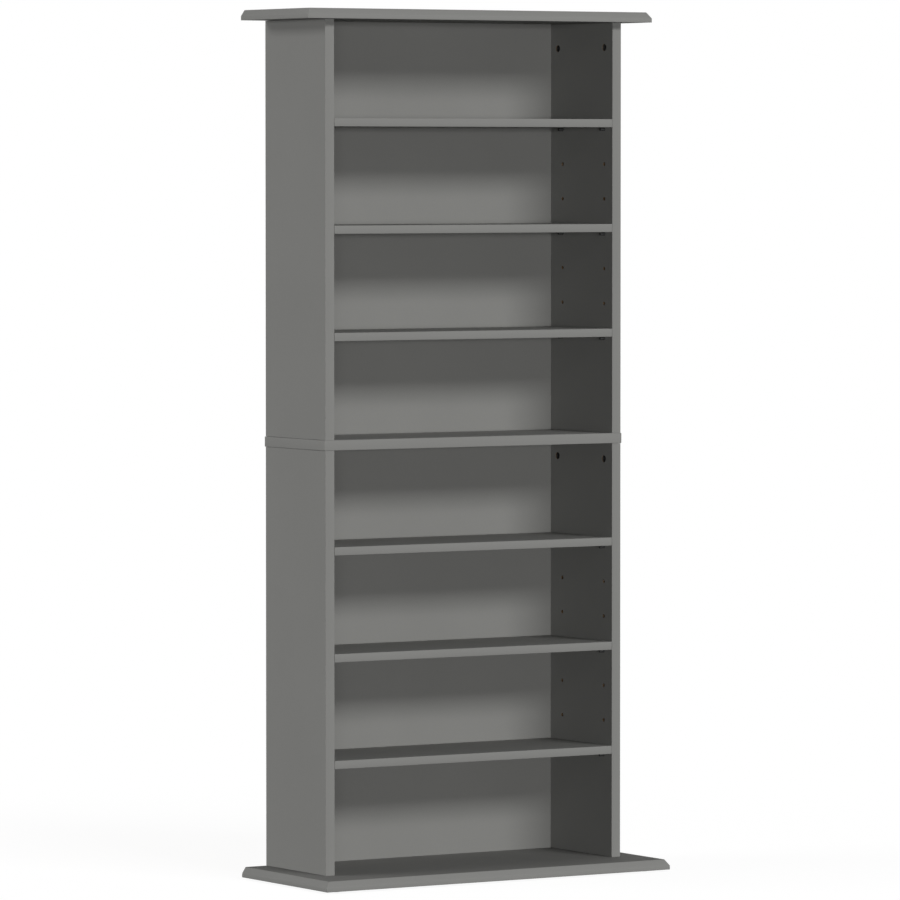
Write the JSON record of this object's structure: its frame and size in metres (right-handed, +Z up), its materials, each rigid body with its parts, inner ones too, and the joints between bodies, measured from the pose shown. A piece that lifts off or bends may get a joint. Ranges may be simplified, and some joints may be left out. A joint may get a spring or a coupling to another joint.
{
  "type": "cd rack",
  "caption": "Tall shallow board rack for disc cases: open shelf units one on another, wide base, overhanging top, loose shelves on plastic pins.",
  "frame": {"origin": "on the floor, under the middle of the whole rack", "axes": "+Z up, +Y to the wall behind the rack, +X to the right seen from the front"},
  "size_m": [0.592, 0.242, 1.2704],
  "materials": {
    "grey_melamine": "satin",
    "grey_hardboard": "matte",
    "nickel_steel": "satin",
    "dark_zinc": "satin",
    "black_plastic": "matte"
  },
  "bodies": {
    "carcass": {"base_board": "grey_melamine", "mid_board": "grey_melamine", "top_board": "grey_melamine", "lower_left_side": "grey_melamine", "lower_right_side": "grey_melamine", "upper_left_side": "grey_melamine", "upper_right_side": "grey_melamine", "lower_back_panel": "grey_hardboard", "upper_back_panel": "grey_hardboard", "shelf_1_left_front_pin": "black_plastic", "shelf_1_left_rear_pin": "black_plastic", "shelf_1_right_front_pin": "black_plastic", "shelf_1_right_rear_pin": "black_plastic", "shelf_2_left_front_pin": "black_plastic", "shelf_2_left_rear_pin": "black_plastic", "shelf_2_right_front_pin": "black_plastic", "shelf_2_right_rear_pin": "black_plastic", "shelf_3_left_front_pin": "black_plastic", "shelf_3_left_rear_pin": "black_plastic", "shelf_3_right_front_pin": "black_plastic", "shelf_3_right_rear_pin": "black_plastic", "shelf_4_left_front_pin": "black_plastic", "shelf_4_left_rear_pin": "black_plastic", "shelf_4_right_front_pin": "black_plastic", "shelf_4_right_rear_pin": "black_plastic", "shelf_5_left_front_pin": "black_plastic", "shelf_5_left_rear_pin": "black_plastic", "shelf_5_right_front_pin": "black_plastic", "shelf_5_right_rear_pin": "black_plastic", "shelf_6_left_front_pin": "black_plastic", "shelf_6_left_rear_pin": "black_plastic", "shelf_6_right_front_pin": "black_plastic", "shelf_6_right_rear_pin": "black_plastic", "lower_left_front_cam_lock": "dark_zinc", "lower_left_rear_cam_lock": "dark_zinc", "lower_right_front_cam_lock": "dark_zinc", "lower_right_rear_cam_lock": "dark_zinc", "upper_left_front_cam_lock": "dark_zinc", "upper_left_rear_cam_lock": "dark_zinc", "upper_right_front_cam_lock": "dark_zinc", "upper_right_rear_cam_lock": "dark_zinc", "lower_left_front_screw": "nickel_steel", "lower_left_rear_screw": "nickel_steel", "lower_right_front_screw": "nickel_steel", "lower_right_rear_screw": "nickel_steel", "upper_left_front_screw": "nickel_steel", "upper_left_rear_screw": "nickel_steel", "upper_right_front_screw": "nickel_steel", "upper_right_rear_screw": "nickel_steel", "front_left_glide": "black_plastic", "front_right_glide": "black_plastic", "rear_left_glide": "black_plastic", "rear_right_glide": "black_plastic"},
    "loose_shelf_1": {"shelf_1": "grey_melamine"},
    "loose_shelf_2": {"shelf_2": "grey_melamine"},
    "loose_shelf_3": {"shelf_3": "grey_melamine"},
    "loose_shelf_4": {"shelf_4": "grey_melamine"},
    "loose_shelf_5": {"shelf_5": "grey_melamine"},
    "loose_shelf_6": {"shelf_6": "grey_melamine"}
  },
  "joints": [
    {"name": "shelf_1_slide", "type": "slide", "parent": "carcass", "child": "loose_shelf_1", "axis": [0, -1, 0], "range_m": [0, 0.18]},
    {"name": "shelf_2_slide", "type": "slide", "parent": "carcass", "child": "loose_shelf_2", "axis": [0, -1, 0], "range_m": [0, 0.18]},
    {"name": "shelf_3_slide", "type": "slide", "parent": "carcass", "child": "loose_shelf_3", "axis": [0, -1, 0], "range_m": [0, 0.18]},
    {"name": "shelf_4_slide", "type": "slide", "parent": "carcass", "child": "loose_shelf_4", "axis": [0, -1, 0], "range_m": [0, 0.18]},
    {"name": "shelf_5_slide", "type": "slide", "parent": "carcass", "child": "loose_shelf_5", "axis": [0, -1, 0], "range_m": [0, 0.18]},
    {"name": "shelf_6_slide", "type": "slide", "parent": "carcass", "child": "loose_shelf_6", "axis": [0, -1, 0], "range_m": [0, 0.18]}
  ]
}
